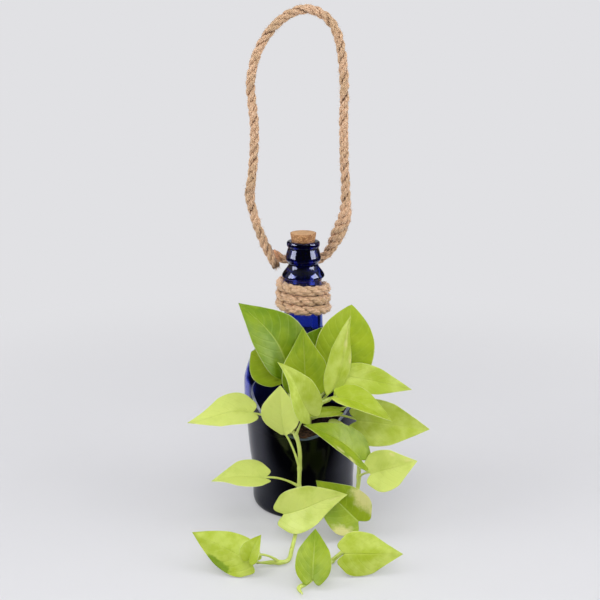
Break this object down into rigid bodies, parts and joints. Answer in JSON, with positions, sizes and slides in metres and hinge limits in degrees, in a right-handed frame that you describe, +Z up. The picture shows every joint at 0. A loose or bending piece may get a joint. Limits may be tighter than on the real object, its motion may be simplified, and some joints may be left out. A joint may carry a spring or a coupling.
{
  "type": "hanging bottle planter",
  "caption": "Cobalt glass bottle with a ground planting window, a cork, a jute-wound neck and a jute hanging loop, planted with a trailing heart-leaved vine.",
  "frame": {"origin": "middle of the foot of the bottle, on the surface that it stands on", "axes": "+Z up along the axis of the bottle, the planting window faces -Y, +X to the right as seen from the front"},
  "size_m": [0.1891, 0.2116, 0.4033],
  "materials": {
    "glass": "glossy",
    "cork": "matte",
    "jute": "rough",
    "mix": "rough",
    "stem": "satin",
    "old_leaf": "satin",
    "young_leaf": "satin"
  },
  "bodies": {
    "planter": {"bottle": "glass", "neck_winding": "jute", "potting_mix": "mix", "stem_left": "stem", "stem_right": "stem", "vine_front": "stem", "vine_side": "stem", "leaf_01": "old_leaf", "leaf_02": "old_leaf", "leaf_03": "old_leaf", "leaf_04": "old_leaf", "leaf_05": "old_leaf", "leaf_06": "young_leaf", "leaf_07": "young_leaf", "leaf_08": "young_leaf", "leaf_09": "young_leaf", "leaf_10": "young_leaf", "leaf_11": "young_leaf", "leaf_12": "old_leaf", "leaf_13": "young_leaf", "leaf_14": "young_leaf", "leaf_15": "young_leaf", "leaf_16": "young_leaf", "leaf_17": "young_leaf", "leaf_18": "young_leaf", "leaf_19": "young_leaf", "leaf_20": "young_leaf", "leaf_21": "young_leaf", "leaf_22": "young_leaf", "new_leaf": "young_leaf"},
    "cork": {"cork": "cork"},
    "loop": {"hanging_loop": "jute"}
  },
  "joints": [
    {"name": "cork_pull", "type": "slide", "parent": "planter", "child": "cork", "axis": [0, 0, 1], "range_m": [0, 0.03]},
    {"name": "loop_swing", "type": "hinge", "parent": "planter", "child": "loop", "pos_m": [0, 0.0157, 0.2035], "axis": [1, 0, 0], "range_deg": [-90, 60]}
  ]
}
